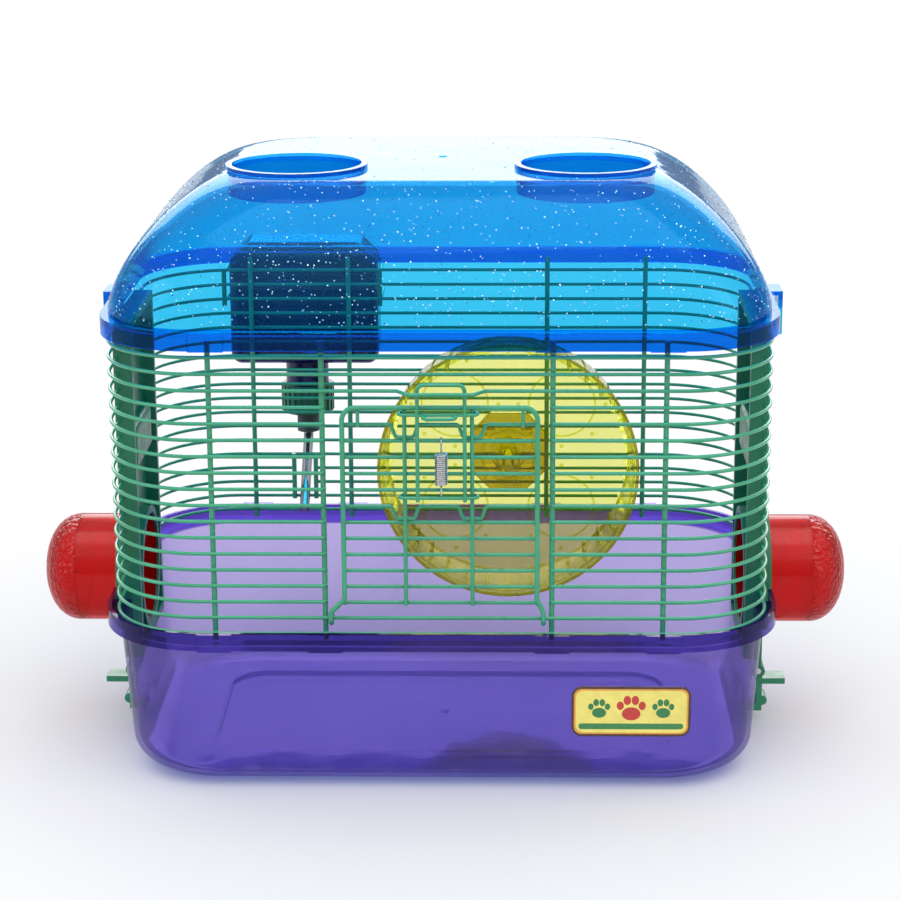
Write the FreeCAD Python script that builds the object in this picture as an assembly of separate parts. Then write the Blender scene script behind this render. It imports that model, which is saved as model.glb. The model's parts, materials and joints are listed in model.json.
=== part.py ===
import FreeCAD, Part
import math
import os

from FreeCAD import Vector as V

# Small-animal cage: a clear tub with a wire cage on it and a domed clear lid on top.
# +X is to the right, -Y is the front with the door, +Z is up, and z = 0 is the ground.
# All lengths are in millimetres.

# ---------------------------------------------------------------- driving dimensions
CAGE_HALF_X = 155.0        # centre line of the wires of the side walls
CAGE_HALF_Y = 100.0        # centre line of the wires of the front and back walls
CORNER_R = 44.0            # centre line of the wires round the corners
ROW_R = 0.85               # radius of a level wire
POST_R = 1.25              # radius of an upright wire
ROW_PITCH = 7.75
ROW_COUNT = 18
ROW_Z0 = 80.0              # lowest level wire
POST_X_OUTER = 104.0
POST_X_INNER = 52.5
POST_OVER_TOP = 7.25       # how far the uprights stand above the top wire
POST_UNDER = 3.5           # how far they reach below the bottom wire

RIM_OUT = 5.5              # the tub's rim stands this far outside the wires
LID_RIM_OUT = 3.4
RIM_T = 2.0                # thickness of a rim's lip
FLANGE_T = 2.5             # thickness of a rim's shelf
WALL_GAP = 0.5             # tub and lid walls start this far inside the wire centre line

TUB_WALL = 2.3
TUB_TAPER = 4.0            # how far the tub walls lean in towards the floor
TUB_BOTTOM_R = 15.0
TUB_CORNER_SHARE = 0.5     # how fast the upright corners tighten with that lean
TUB_RIM_H = 8.5            # height of the tub's rim, shelf to lip
TUB_RIM_TOP = 81.5
FLOOR_PANEL_X = 114.5      # half length of the sunk panel in the floor, which the tub stands on
FLOOR_PANEL_Y = 57.0
FLOOR_PANEL_R = 20.0
FLOOR_DROP = 1.5           # how far the panel stands below the rest of the floor

LID_WALL = 2.2
LID_RIM_BOTTOM = 215.3
LID_RIM_H = 8.7
LID_TOP_Z = 284.0
LID_SPRING_Z = 226.0       # where the lid's wall starts to curve in
LID_SIDE_CURVE = 58.0      # how far the curve reaches in from each side
LID_FRONT_CURVE = 50.0
LID_BACK_CURVE = 14.0
LID_TOP_CORNER_R = 34.0
CURVE_POWER = 1.55         # 2 is a circle, less is flatter at the shoulder

POCKET_W = 16.0            # small housings on the rims in front of each upright
POCKET_OUT = 2.0
EAR_W = 18.0               # snap ears of the lid
EAR_T = 2.2
EAR_DROP = 13.5
EAR_GAP = 0.4

TOP_PORT_X = 69.0
TOP_PORT_Y = -10.0
TOP_PORT_R = 31.0          # bore of the two top ports
TOP_PORT_WALL = 2.0
TOP_PORT_LIP = 1.0         # how far the lip stands out round the collar
TOP_PORT_LIP_H = 2.0
TOP_PORT_DEPTH = 12.0

PANEL_T = 3.0
PANEL_HALF_Y = 38.0
PANEL_BOTTOM = 45.4
PANEL_TOP = 214.0
PANEL_FIT = 0.4            # gap round the panel in the tub's notch
PANEL_EDGE_W = 4.0         # raised border round the inner face
PANEL_EDGE_IN = 6.0
PORT_Z = 80.0              # centre of the side ports
PORT_R = 27.1              # bore of the side ports
PORT_RING_R = 31.0
PORT_RING_IN = 6.0         # ring inside the cage
PORT_RING_OUT = 4.5        # ring outside the cage
PAD_Z = 147.5              # moulded pad above the port
PAD_H = 22.0
PAD_HALF_Y = 26.0
PAD_IN = 5.0
PAD_EDGE_R = 3.0
NUB_H = 6.0
NUB_OUT = 5.6
NUB_CHAMFER = 2.5

PLUG_R = 26.75
PLUG_WALL = 1.8
PLUG_INSIDE = 5.0          # how far the plug's sleeve reaches inside the panel
PLUG_SLEEVE = 25.5         # length of the sleeve outside the panel
PLUG_DOME = 18.0
DOME_FULLNESS = 0.6        # 0.55 is an ellipse, more is blunter

TONGUE_HALF_Y = 9.0
TONGUE_T = 3.0
TONGUE_TOP = 58.0
TONGUE_BOTTOM = 32.5
LATCH_PIN_R = 1.5
LATCH_PIN_Z = 28.0
LATCH_PIN_FIT = 0.08
LATCH_EYE_R = 3.4
LATCH_T = 3.0
LATCH_BOTTOM = 5.6
LATCH_TAB_Z = 21.5
LATCH_TAB_OUT = 11.4
LATCH_GAP = 0.5
LUG_Z = 10.2
LUG_H = 5.0
LUG_HALF_Y = 7.0
LUG_ROOT = 11.0            # lugs start this far inside the tub's top
LUG_OUT = 0.5              # and stand this far outside the side panels
HOOK_REACH = 4.5           # how far a latch's hook reaches in under its lug
LATCH_BEAD_R = 2.6
LATCH_BEAD_UP = 5.5        # height of the bead over the latch's lower end
CHEEK_T = 3.0              # thickness of the knuckles beside the latch

RAIL_R = 1.15              # door frame wire
DOOR_POST_R = 0.95
DOOR_X_LEFT = -43.2
DOOR_X_RIGHT = 45.6
DOOR_TOP_Z = 189.0
DOOR_BEND_R = 6.0
DOOR_FOOT_SPLAY_LEFT = 6.4
DOOR_FOOT_SPLAY_RIGHT = 3.0
DOOR_FOOT_H = 10.0
DOOR_KNEE_H = 3.5
DOOR_FOOT_BEND_R = 2.5
DOOR_POST_LEFT = -14.8
DOOR_POST_RIGHT = 15.9
DOOR_STUB_X = (-36.0, 39.0)
HINGE_FIT = 0.4            # gap between a hinge eye and the wire it turns on
HINGE_ROW = 1
DOOR_TOP_ROW = 14          # first wire that the door opening cuts at its top
DIP_ROWS = (8, 13)         # door wires that dip to let the latch slide
DIP_DEPTH = 6.0
DIP_HALF = 5.2
DIP_BEND_R = 1.9

LATCH_LOOP_LEFT = -8.9
LATCH_LOOP_RIGHT = 12.6
LATCH_LOOP_TOP = 200.2
LATCH_LOOP_BOTTOM = 145.3
LATCH_WIRE_R = 0.9
LATCH_BAR_R = 0.8
LATCH_BAR_Z = (147.1, 186.2)
LATCH_BEND_R = 3.0
LATCH_GAP_Y = 0.35
GRIP_LEFT = -6.1
GRIP_RIGHT = 8.5
GRIP_OUT = 7.5
KEEPER_ROW = 15            # cage wire that bows out in front of the latch
KEEPER_HALF = 15.0
KEEPER_SLOPE = 5.0
SPRING_R = 3.0
SPRING_WIRE_R = 0.45
SPRING_BOTTOM = 153.5
SPRING_TOP = 168.0
SPRING_HOOK_ROW = 12
SPRING_HOOK_BEND_R = 0.6

WHEEL_X = 32.0
WHEEL_Z = 114.3
WHEEL_R = 68.0
WHEEL_BACK_R = 65.0
WHEEL_WALL = 2.0
WHEEL_LIP = 3.5
WHEEL_FRONT_Y = 53.0
WHEEL_BACK_Y = 87.0
WHEEL_RIB_COUNT = 36
WHEEL_RIB = 1.2
HUB_R = 6.2
HUB_FRONT_Y = 63.0
AXLE_R = 3.0
AXLE_FIT = 0.1
MOUNT_HALF_X = 20.3
MOUNT_HALF_Z = 21.3
MOUNT_T = 3.5
MOUNT_CORNER = 11.0
MOUNT_GAP = 0.3
MOUNT_BOSS_R = 9.2
MOUNT_BOSS_GAP = 1.0       # gap from the wheel's back to the mount's boss
AXLE_END_GAP = 0.6
CLIP_X = 10.0              # clips of the mount, on each side of its middle
CLIP_HALF = 3.0
CLIP_T = 1.5
CLIP_CATCH = 2.0

BOTTLE_X = -77.3
BOTTLE_HALF_X = 39.7
BOTTLE_RIM_GAP = 0.8       # gap from the lid rim to the bottle
BOTTLE_DEPTH = 36.0
BOTTLE_Z0 = 158.0
BOTTLE_H = 66.0
BOTTLE_WALL = 1.8
BOTTLE_SHOULDER = 10.0
BOTTLE_EDGE_R = 6.0
NECK_R = 11.5
NECK_SHOWS = 13.5          # length of neck between the bottle and its cap
NECK_IN_CAP = 9.0
CAP_R = 14.3
CAP_H = 15.7
CAP_GRIP_COUNT = 24
CAP_GRIP_DEPTH = 0.8
CAP_GRIP_HALF = 0.9
NECK_ROOT = 8.0            # how far the neck is rooted in the bottle
HOLDER_R = 6.0
HOLDER_H = 11.3
HOLDER_SPIGOT_R = 4.5
TUBE_R = 2.7
TUBE_BORE = 2.35
TUBE_BEND_DROP = 2.4       # bend of the tube, below its holder
TUBE_BEND_R = 5.0
TUBE_TIP_Y = 88.4
TUBE_ANGLE = 50.0          # of the tube's end, from upright
TUBE_IN_CAP = 5.0
BALL_R = 2.25
BALL_OUT = 1.1             # how far the ball stands out of the tube
LEDGE_H = 2.6
LEDGE_HALF_X = 22.0
BRACKET_R = 1.0
BRACKET_POST_R = 1.25
BRACKET_GAP = 0.6
BRACKET_Z = (194.0, 209.5)
TUBE_GAP_HALF = 5.8        # half width of the gap in the back wires for the tube
TUBE_GAP_ROWS = (2, 3)     # wires that stop at this gap

LABEL_X = (62.0, 118.0)
LABEL_Z = (28.0, 53.5)
LABEL_T = 0.4
LABEL_R = 5.0

# ---------------------------------------------------------------- derived places
ROW_Z = [ROW_Z0 + ROW_PITCH * k for k in range(ROW_COUNT)]
POST_TOP = ROW_Z[-1] + POST_OVER_TOP
POST_BOTTOM = ROW_Z0 - POST_UNDER
POST_Y = CAGE_HALF_Y - ROW_R - POST_R
ARC_X = CAGE_HALF_X - CORNER_R
ARC_Y = CAGE_HALF_Y - CORNER_R
WALL_X = CAGE_HALF_X - WALL_GAP
WALL_Y = CAGE_HALF_Y - WALL_GAP
WALL_R = CORNER_R - WALL_GAP
RIM_X = CAGE_HALF_X + RIM_OUT
RIM_Y = CAGE_HALF_Y + RIM_OUT
RIM_R = CORNER_R + RIM_OUT
LID_RIM_X = CAGE_HALF_X + LID_RIM_OUT
LID_RIM_Y = CAGE_HALF_Y + LID_RIM_OUT
LID_RIM_R = CORNER_R + LID_RIM_OUT
TUB_SHELF_Z = TUB_RIM_TOP - TUB_RIM_H
LID_SHELF_Z = LID_RIM_BOTTOM + LID_RIM_H - FLANGE_T
PANEL_X = CAGE_HALF_X - PANEL_T / 2
PANEL_OUT_X = CAGE_HALF_X + PANEL_T / 2
LUG_END_X = PANEL_OUT_X + LUG_OUT
DOOR_Y = -(CAGE_HALF_Y + ROW_R + HINGE_FIT + RAIL_R)
HINGE_EYE_R = -(CAGE_HALF_Y + DOOR_Y)
DOOR_ROW_Y = DOOR_Y + RAIL_R + ROW_R
DOOR_POST_Y = DOOR_ROW_Y - ROW_R - DOOR_POST_R
LATCH_Y = DOOR_Y - RAIL_R - LATCH_GAP_Y - LATCH_WIRE_R
KEEPER_Y = LATCH_Y - LATCH_WIRE_R - LATCH_GAP_Y - ROW_R
BOTTLE_FRONT_Y = RIM_Y + POCKET_OUT + BOTTLE_RIM_GAP
BRACKET_BEND_R = BOTTLE_EDGE_R + BRACKET_GAP + BRACKET_R
BOTTLE_BACK_Y = BOTTLE_FRONT_Y + BOTTLE_DEPTH
BOTTLE_MID_Y = BOTTLE_FRONT_Y + BOTTLE_DEPTH / 2
CAP_TOP = BOTTLE_Z0 - NECK_SHOWS
CAP_BOTTOM = CAP_TOP - CAP_H
HOLDER_BOTTOM = CAP_BOTTOM - HOLDER_H
TUBE_BEND_Z = HOLDER_BOTTOM - TUBE_BEND_DROP
AXLE_Y0 = POST_Y - POST_R - MOUNT_GAP - MOUNT_T


# ---------------------------------------------------------------- helpers
def plan_wire(half_x, front, back, radius_f, radius_b, z):
    """Closed outline of a rounded rectangle at height z, from y = -front to y = back."""
    s = math.sqrt(0.5)
    corners = [(half_x, -front, radius_f, 1, -1), (half_x, back, radius_b, 1, 1),
               (-half_x, back, radius_b, -1, 1), (-half_x, -front, radius_f, -1, -1)]
    edges = []
    ends = []
    for x, y, r, sx, sy in corners:
        cx = x - sx * r
        cy = y - sy * r
        low = V(cx, y, z)
        side = V(x, cy, z)
        mid = V(cx + sx * r * s, cy + sy * r * s, z)
        pair = (low, side) if sx * sy < 0 else (side, low)
        edges.append(Part.Arc(pair[0], mid, pair[1]).toShape())
        ends.append(pair)
    loop = []
    for i in range(4):
        loop.append(edges[i])
        loop.append(Part.LineSegment(ends[i][1], ends[(i + 1) % 4][0]).toShape())
    return Part.Wire(loop)


def block(x0, x1, y0, y1, z0, z1):
    """Box between two corners given in any order."""
    low = V(min(x0, x1), min(y0, y1), min(z0, z1))
    return Part.makeBox(abs(x1 - x0), abs(y1 - y0), abs(z1 - z0), low)


def plate(half_x, half_y, radius, z0, z1):
    """Rounded rectangle, centred on the Z axis, from z0 to z1."""
    outline = plan_wire(half_x, half_y, half_y, radius, radius, z0)
    return Part.Face(outline).extrude(V(0, 0, z1 - z0))


def rod(a, b, radius):
    """Round bar from point a to point b."""
    along = b.sub(a)
    return Part.makeCylinder(radius, along.Length, a, along)


def path(points, bends):
    """Edges of straight runs joined by tangent arcs; bends holds one radius per inner point."""
    edges = []
    start = points[0]
    for i in range(1, len(points) - 1):
        to_last = points[i - 1].sub(points[i]).normalize()
        to_next = points[i + 1].sub(points[i]).normalize()
        half = to_last.getAngle(to_next) / 2
        reach = bends[i - 1] / math.tan(half)
        a = points[i].add(V(to_last).multiply(reach))
        b = points[i].add(V(to_next).multiply(reach))
        inward = to_last.add(to_next).normalize()
        centre = points[i].add(V(inward).multiply(bends[i - 1] / math.sin(half)))
        mid = centre.sub(V(inward).multiply(bends[i - 1]))
        if a.sub(start).Length > 1e-6:
            edges.append(Part.LineSegment(start, a).toShape())
        edges.append(Part.Arc(a, mid, b).toShape())
        start = b
    edges.append(Part.LineSegment(start, points[-1]).toShape())
    return edges


def sweep(edges, radius):
    """Round wire swept along the given edges."""
    spine = Part.Wire(edges)
    first = edges[0]
    start = first.valueAt(first.FirstParameter)
    heading = first.tangentAt(first.FirstParameter)
    ring = Part.Wire([Part.makeCircle(radius, start, heading)])
    solid = spine.makePipeShell([ring], True, False)
    return solid if solid.Volume > 0 else solid.reversed()


def bent_rod(points, bend, radius):
    """Round wire through the points, with the same bend at each inner point."""
    return sweep(path(points, [bend] * (len(points) - 2)), radius)


def fuse(shapes):
    """One solid from shapes that meet."""
    whole = shapes[0].multiFuse(shapes[1:])
    return whole.removeSplitter()


def turn(profile, centre, axis):
    """Solid of revolution of a closed profile."""
    return Part.Face(Part.makePolygon(profile + [profile[0]])).revolve(centre, axis, 360)


def mirror_x(shape):
    """The same shape on the other side of the YZ plane."""
    return shape.mirror(V(0, 0, 0), V(1, 0, 0))


def save(name, shapes):
    """Write one node; several shapes become one group of separate solids."""
    whole = shapes[0] if len(shapes) == 1 else Part.Compound(shapes)
    whole.exportStep("parts/" + name + ".step")


# ---------------------------------------------------------------- tub
def tub_outline(inset, z):
    """Level outline of the tub, the given distance inside the top of its skin."""
    radius = WALL_R - inset * TUB_CORNER_SHARE
    return plan_wire(WALL_X - inset, WALL_Y - inset, WALL_Y - inset, radius, radius, z)


def tub_body(offset):
    """Solid tub, or its cavity when the offset is the wall thickness."""
    radius = TUB_BOTTOM_R - offset
    spring_z = FLOOR_DROP + TUB_BOTTOM_R
    rounded = []
    for step in range(6, -1, -1):
        angle = math.radians(15 * step)
        inset = TUB_TAPER + offset + radius * (1 - math.cos(angle))
        rounded.append(tub_outline(inset, spring_z - radius * math.sin(angle)))
    bottom = Part.makeLoft(rounded, True, False)
    wall = Part.makeLoft([tub_outline(TUB_TAPER + offset, spring_z),
                          tub_outline(offset, TUB_SHELF_Z)], True, True)
    return bottom.fuse(wall)


def rim_pockets(rim_y, z0, z1):
    """Housings on a rim's lip in front of each upright, front and back."""
    boxes = []
    for x in (-POST_X_OUTER, -POST_X_INNER, POST_X_INNER, POST_X_OUTER):
        for side in (-1, 1):
            y0 = side * (rim_y - RIM_T / 2)
            y1 = side * (rim_y + POCKET_OUT)
            boxes.append(block(x - POCKET_W / 2, x + POCKET_W / 2, y0, y1, z0, z1))
    return boxes


def make_tub():
    """Clear tub with a rim, a sunk floor panel, side notches and latch lugs."""
    outer = tub_body(0)
    cavity = tub_body(TUB_WALL)
    shelf = plate(RIM_X, RIM_Y, RIM_R, TUB_SHELF_Z, TUB_RIM_TOP)
    groove = plate(RIM_X - RIM_T, RIM_Y - RIM_T, RIM_R - RIM_T,
                   TUB_SHELF_Z + FLANGE_T, TUB_RIM_TOP + 1)
    neck = plate(WALL_X - TUB_WALL, WALL_Y - TUB_WALL, WALL_R - TUB_WALL,
                 TUB_SHELF_Z - 0.5, TUB_RIM_TOP + 1)
    lugs = []
    for side in (-1, 1):
        lugs.append(block(side * (WALL_X - LUG_ROOT), side * LUG_END_X,
                          -LUG_HALF_Y, LUG_HALF_Y, LUG_Z, LUG_Z + LUG_H))
    body = outer.multiFuse([shelf] + rim_pockets(RIM_Y, TUB_SHELF_Z, TUB_RIM_TOP) + lugs)
    body = body.cut(groove)
    body = body.cut(neck)
    body = body.cut(cavity)
    panel = plate(FLOOR_PANEL_X, FLOOR_PANEL_Y, FLOOR_PANEL_R, 0, FLOOR_DROP + TUB_WALL)
    recess = plate(FLOOR_PANEL_X - TUB_WALL, FLOOR_PANEL_Y - TUB_WALL,
                   FLOOR_PANEL_R - TUB_WALL, TUB_WALL, FLOOR_DROP + TUB_WALL + 1)
    body = body.fuse(panel)
    body = body.cut(recess)
    for side in (-1, 1):
        half = PANEL_HALF_Y + PANEL_FIT
        x0 = side * (WALL_X - 12)
        x1 = side * (RIM_X + 5)
        notch = block(x0, x1, -half, half, PANEL_BOTTOM - PANEL_FIT, TUB_RIM_TOP + 5)
        body = body.cut(notch)
    return body


def make_label():
    """Thin printed label that follows the tub's front wall."""
    skin = tub_body(-LABEL_T)
    sheet = skin.cut(tub_body(0))
    x0, x1 = LABEL_X
    z0, z1 = LABEL_Z
    stamp = block(x0, x1, -RIM_Y - 10, -WALL_Y + 25, z0, z1)
    upright = [e for e in stamp.Edges if abs(e.tangentAt(e.FirstParameter).y) > 0.9]
    stamp = stamp.makeFillet(LABEL_R, upright)
    return sheet.common(stamp)


# ---------------------------------------------------------------- lid
def lid_body(offset, bottom):
    """Solid dome with its upright skirt, or its cavity; offset is the distance inside its skin."""
    rise = LID_TOP_Z - LID_SPRING_Z - offset
    back_r = LID_BACK_CURVE - offset
    back_z = LID_TOP_Z - LID_BACK_CURVE
    levels = []
    for step in range(13):
        angle = math.radians(7.5 * step)
        share_in = 1 - math.cos(angle) ** (2 / CURVE_POWER)
        z = LID_SPRING_Z + rise * math.sin(angle) ** (2 / CURVE_POWER)
        side = offset + (LID_SIDE_CURVE - offset) * share_in
        front = offset + (LID_FRONT_CURVE - offset) * share_in
        up = max(0.0, min(1.0, (z - back_z) / back_r))
        back = offset + back_r * (1 - math.sqrt(1 - up * up))
        levels.append((side, front, back, z, share_in))
    wires = []
    for side, front, back, z, share_in in levels:
        radius = WALL_R - offset + (LID_TOP_CORNER_R - WALL_R) * share_in
        wires.append(plan_wire(WALL_X - side, WALL_Y - front, WALL_Y - back, radius, radius, z))
    dome = Part.makeLoft(wires, True, False)
    skirt = plate(WALL_X - offset, WALL_Y - offset, WALL_R - offset, bottom, LID_SPRING_Z)
    return dome.fuse(skirt)


def make_lid():
    """Domed clear lid with a rim, snap ears and holes for the two port rings."""
    outer = lid_body(0, LID_SHELF_Z)
    cavity = lid_body(LID_WALL, LID_SHELF_Z - 1)
    rim_top = LID_SHELF_Z + FLANGE_T
    shelf = plate(LID_RIM_X, LID_RIM_Y, LID_RIM_R, LID_RIM_BOTTOM, rim_top)
    groove = plate(LID_RIM_X - RIM_T, LID_RIM_Y - RIM_T, LID_RIM_R - RIM_T,
                   LID_RIM_BOTTOM - 1, LID_SHELF_Z)
    ears = []
    for side in (-1, 1):
        ear_x = PANEL_OUT_X + NUB_OUT + EAR_GAP
        ears.append(block(side * ear_x, side * (ear_x + EAR_T), -EAR_W / 2, EAR_W / 2,
                          LID_RIM_BOTTOM - EAR_DROP, rim_top - 1))
        ears.append(block(side * (LID_RIM_X - 1), side * (ear_x + EAR_T), -EAR_W / 2, EAR_W / 2,
                          rim_top - 1 - RIM_T, rim_top - 1))
    body = outer.multiFuse([shelf] + rim_pockets(LID_RIM_Y, LID_RIM_BOTTOM, rim_top) + ears)
    body = body.cut(groove)
    body = body.cut(cavity)
    for x in (-TOP_PORT_X, TOP_PORT_X):
        hole = Part.makeCylinder(TOP_PORT_R + TOP_PORT_WALL, 2 * TOP_PORT_DEPTH,
                                 V(x, TOP_PORT_Y, LID_TOP_Z - TOP_PORT_DEPTH))
        body = body.cut(hole)
    return body


def make_top_ring(x):
    """Collar in a top port, with a lip on the lid."""
    outer = TOP_PORT_R + TOP_PORT_WALL
    profile = [V(TOP_PORT_R, 0, LID_TOP_Z - TOP_PORT_DEPTH),
               V(outer, 0, LID_TOP_Z - TOP_PORT_DEPTH),
               V(outer, 0, LID_TOP_Z),
               V(outer + TOP_PORT_LIP, 0, LID_TOP_Z),
               V(outer + TOP_PORT_LIP, 0, LID_TOP_Z + TOP_PORT_LIP_H),
               V(TOP_PORT_R, 0, LID_TOP_Z + TOP_PORT_LIP_H)]
    ring = turn(profile, V(0, 0, 0), V(0, 0, 1))
    ring.translate(V(x, TOP_PORT_Y, 0))
    return ring


# ---------------------------------------------------------------- wire cage
def level_wire(x0, x1, y, z):
    """Straight level wire along X."""
    return rod(V(x0, y, z), V(x1, y, z), ROW_R)


def post(x, side, z0=None, z1=None):
    """Upright wire on the inner side of the level wires; side is -1 at the front, 1 at the back."""
    low = POST_BOTTOM if z0 is None else z0
    high = POST_TOP if z1 is None else z1
    return rod(V(x, side * POST_Y, low), V(x, side * POST_Y, high), POST_R)


def corner_wires(side_x, side_y):
    """Level wires round one corner, up to the side panel."""
    wires = []
    for z in ROW_Z:
        start = V(side_x * ARC_X, side_y * CAGE_HALF_Y, z)
        middle = V(side_x * CAGE_HALF_X, side_y * CAGE_HALF_Y, z)
        end = V(side_x * CAGE_HALF_X, side_y * PANEL_HALF_Y, z)
        wires.append(bent_rod([start, middle, end], CORNER_R, ROW_R))
    return wires


def front_side_wires(side):
    """Wires and uprights beside the door opening."""
    wires = [post(side * POST_X_OUTER, -1), post(side * POST_X_INNER, -1)]
    for z in ROW_Z[HINGE_ROW + 1:DOOR_TOP_ROW + 1]:
        wires.append(level_wire(side * ARC_X, side * POST_X_INNER, -CAGE_HALF_Y, z))
    return wires


def front_top_wires():
    """Wires over the door; one bows out to keep the latch."""
    wires = []
    middle = (LATCH_LOOP_LEFT + LATCH_LOOP_RIGHT) / 2
    for k in range(DOOR_TOP_ROW + 1, ROW_COUNT):
        z = ROW_Z[k]
        if k == KEEPER_ROW:
            foot = KEEPER_HALF + KEEPER_SLOPE
            points = [V(-ARC_X, -CAGE_HALF_Y, z), V(middle - foot, -CAGE_HALF_Y, z),
                      V(middle - KEEPER_HALF, KEEPER_Y, z), V(middle + KEEPER_HALF, KEEPER_Y, z),
                      V(middle + foot, -CAGE_HALF_Y, z), V(ARC_X, -CAGE_HALF_Y, z)]
            wires.append(bent_rod(points, DIP_BEND_R, ROW_R))
        else:
            wires.append(level_wire(-ARC_X, ARC_X, -CAGE_HALF_Y, z))
    return wires


def front_bottom_wires():
    """Wires under the door; the upper one is the door's hinge wire."""
    return [level_wire(-ARC_X, ARC_X, -CAGE_HALF_Y, z) for z in ROW_Z[:HINGE_ROW + 1]]


def back_upper_wires():
    """Back wires above the gap for the drinking tube, with the four uprights."""
    first = TUBE_GAP_ROWS[-1] + 1
    wires = [level_wire(-ARC_X, ARC_X, CAGE_HALF_Y, z) for z in ROW_Z[first:]]
    for x in (-POST_X_OUTER, -POST_X_INNER, POST_X_INNER, POST_X_OUTER):
        wires.append(post(x, 1))
    return wires


def back_gap_wires(side):
    """Back wires that stop at the gap for the drinking tube, with the short upright beside it."""
    edge = BOTTLE_X + side * TUBE_GAP_HALF
    low = ROW_Z[TUBE_GAP_ROWS[0] - 1] - ROW_R
    high = ROW_Z[TUBE_GAP_ROWS[-1] + 1] + ROW_R
    wires = [post(edge, 1, low, high)]
    for k in TUBE_GAP_ROWS:
        wires.append(level_wire(side * ARC_X, edge, CAGE_HALF_Y, ROW_Z[k]))
    return wires


def back_lower_wires():
    """Back wires below the gap for the drinking tube."""
    return [level_wire(-ARC_X, ARC_X, CAGE_HALF_Y, z) for z in ROW_Z[:TUBE_GAP_ROWS[0]]]


# ---------------------------------------------------------------- side panels, plugs, side latches
def make_side_panel():
    """Right side panel with its port ring, stiffening pad, lid catch and latch tongue."""
    body = block(PANEL_X, PANEL_OUT_X, -PANEL_HALF_Y, PANEL_HALF_Y, PANEL_BOTTOM, PANEL_TOP)
    inner_z = PANEL_TOP - PANEL_EDGE_W
    border = block(PANEL_X - PANEL_EDGE_IN, PANEL_X, -PANEL_HALF_Y, PANEL_HALF_Y,
                   PANEL_BOTTOM, PANEL_TOP)
    border = border.cut(block(PANEL_X - PANEL_EDGE_IN - 1, PANEL_X,
                              PANEL_EDGE_W - PANEL_HALF_Y, PANEL_HALF_Y - PANEL_EDGE_W,
                              PANEL_BOTTOM + PANEL_EDGE_W, inner_z))
    ring = Part.makeCylinder(PORT_RING_R, PORT_RING_IN + PANEL_T + PORT_RING_OUT,
                             V(PANEL_X - PORT_RING_IN, 0, PORT_Z), V(1, 0, 0))
    pad = block(PANEL_X - PAD_IN, PANEL_X, -PAD_HALF_Y, PAD_HALF_Y,
                PAD_Z - PAD_H / 2, PAD_Z + PAD_H / 2)
    pad = pad.makeFillet(PAD_EDGE_R, [e for e in pad.Edges if e.BoundBox.XMax < PANEL_X - 0.1])
    nub = block(PANEL_OUT_X, PANEL_OUT_X + NUB_OUT, -EAR_W / 3, EAR_W / 3,
                PANEL_TOP - NUB_H, PANEL_TOP)
    nub = nub.makeChamfer(NUB_CHAMFER, [e for e in nub.Edges
                                if e.BoundBox.XMin > PANEL_OUT_X + 0.1
                                and e.BoundBox.ZMin > PANEL_TOP - 0.1])
    tongue = block(PANEL_OUT_X, PANEL_OUT_X + TONGUE_T, -TONGUE_HALF_Y, TONGUE_HALF_Y,
                   TONGUE_BOTTOM, TONGUE_TOP)
    axis_x = PANEL_OUT_X + TONGUE_T / 2
    cheeks = []
    for side in (-1, 1):
        y0 = side * (TONGUE_HALF_Y - CHEEK_T)
        y1 = side * TONGUE_HALF_Y
        knuckle = Part.makeCylinder(LATCH_EYE_R, CHEEK_T, V(axis_x, min(y0, y1), LATCH_PIN_Z),
                                    V(0, 1, 0))
        strap = block(PANEL_OUT_X, PANEL_OUT_X + TONGUE_T, y0, y1, LATCH_PIN_Z, TONGUE_BOTTOM + 1)
        cheeks += [knuckle, strap]
    body = body.multiFuse([border, ring, pad, nub, tongue] + cheeks)
    bore = Part.makeCylinder(PORT_R, 60, V(PANEL_X - 30, 0, PORT_Z), V(1, 0, 0))
    body = body.cut(bore)
    pin_hole = Part.makeCylinder(LATCH_PIN_R, 60, V(axis_x, -30, LATCH_PIN_Z), V(0, 1, 0))
    return body.cut(pin_hole)


def make_side_latch():
    """Right side latch: an eye on the pin, a finger tab and a hook under the tub's lug."""
    axis_x = PANEL_OUT_X + TONGUE_T / 2
    half = TONGUE_HALF_Y - CHEEK_T - LATCH_GAP
    eye = Part.makeCylinder(LATCH_EYE_R, 2 * half, V(axis_x, -half, LATCH_PIN_Z), V(0, 1, 0))
    arm_x = LUG_END_X + LATCH_GAP
    arm = block(arm_x, arm_x + LATCH_T, -half, half, LATCH_BOTTOM, LATCH_PIN_Z)
    hook = block(LUG_END_X - HOOK_REACH, arm_x + 1, -half, half, LATCH_BOTTOM, LUG_Z - LATCH_GAP)
    tab = block(arm_x + 1, arm_x + LATCH_T + LATCH_TAB_OUT, -half, half,
                LATCH_TAB_Z - LATCH_T / 2, LATCH_TAB_Z + LATCH_T / 2)
    bead = Part.makeCylinder(LATCH_BEAD_R, 2 * half,
                             V(arm_x + LATCH_T, -half, LATCH_BOTTOM + LATCH_BEAD_UP),
                             V(0, 1, 0))
    body = eye.multiFuse([arm, hook, tab, bead])
    bore = Part.makeCylinder(LATCH_PIN_R + LATCH_PIN_FIT, 60, V(axis_x, -30, LATCH_PIN_Z),
                             V(0, 1, 0))
    return body.cut(bore).removeSplitter()


def make_side_pin():
    """Pin of the right side latch."""
    axis_x = PANEL_OUT_X + TONGUE_T / 2
    return Part.makeCylinder(LATCH_PIN_R, 2 * TONGUE_HALF_Y, V(axis_x, -TONGUE_HALF_Y, LATCH_PIN_Z),
                             V(0, 1, 0))


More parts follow.
